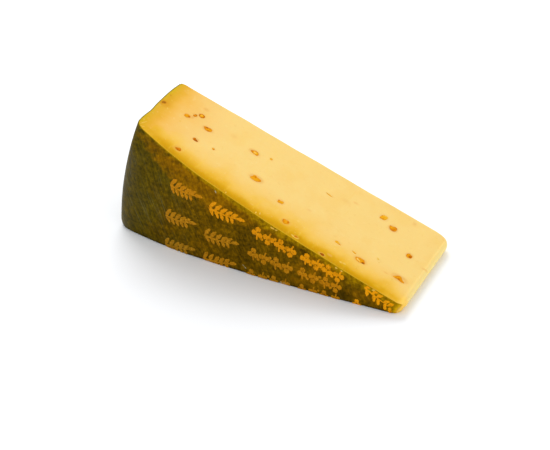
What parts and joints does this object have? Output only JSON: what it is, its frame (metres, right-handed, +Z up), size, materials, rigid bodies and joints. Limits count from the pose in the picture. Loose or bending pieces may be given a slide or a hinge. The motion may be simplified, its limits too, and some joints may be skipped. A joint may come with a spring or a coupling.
{
  "type": "fenugreek cheese wedge",
  "caption": "Wedge of hard cheese with fenugreek seeds and a waxed green rind, lying on a long cut face.",
  "frame": {"origin": "on the resting face, under the middle of the bounding box", "axes": "+X from the wheel's rim towards the blunt tip, +Y away from the rind of the wheel's flat face, +Z up from the resting face"},
  "size_m": [0.1152, 0.0474, 0.0445],
  "materials": {
    "paste": "smooth, slightly oily knife cut",
    "rind": "thin mottled olive-green wax coat, satin",
    "print": "amber ornament printed on the rind",
    "seed": "cut seed, amber to brown"
  },
  "bodies": {
    "root": {"cheese_wedge": "paste"}
  },
  "joints": []
}
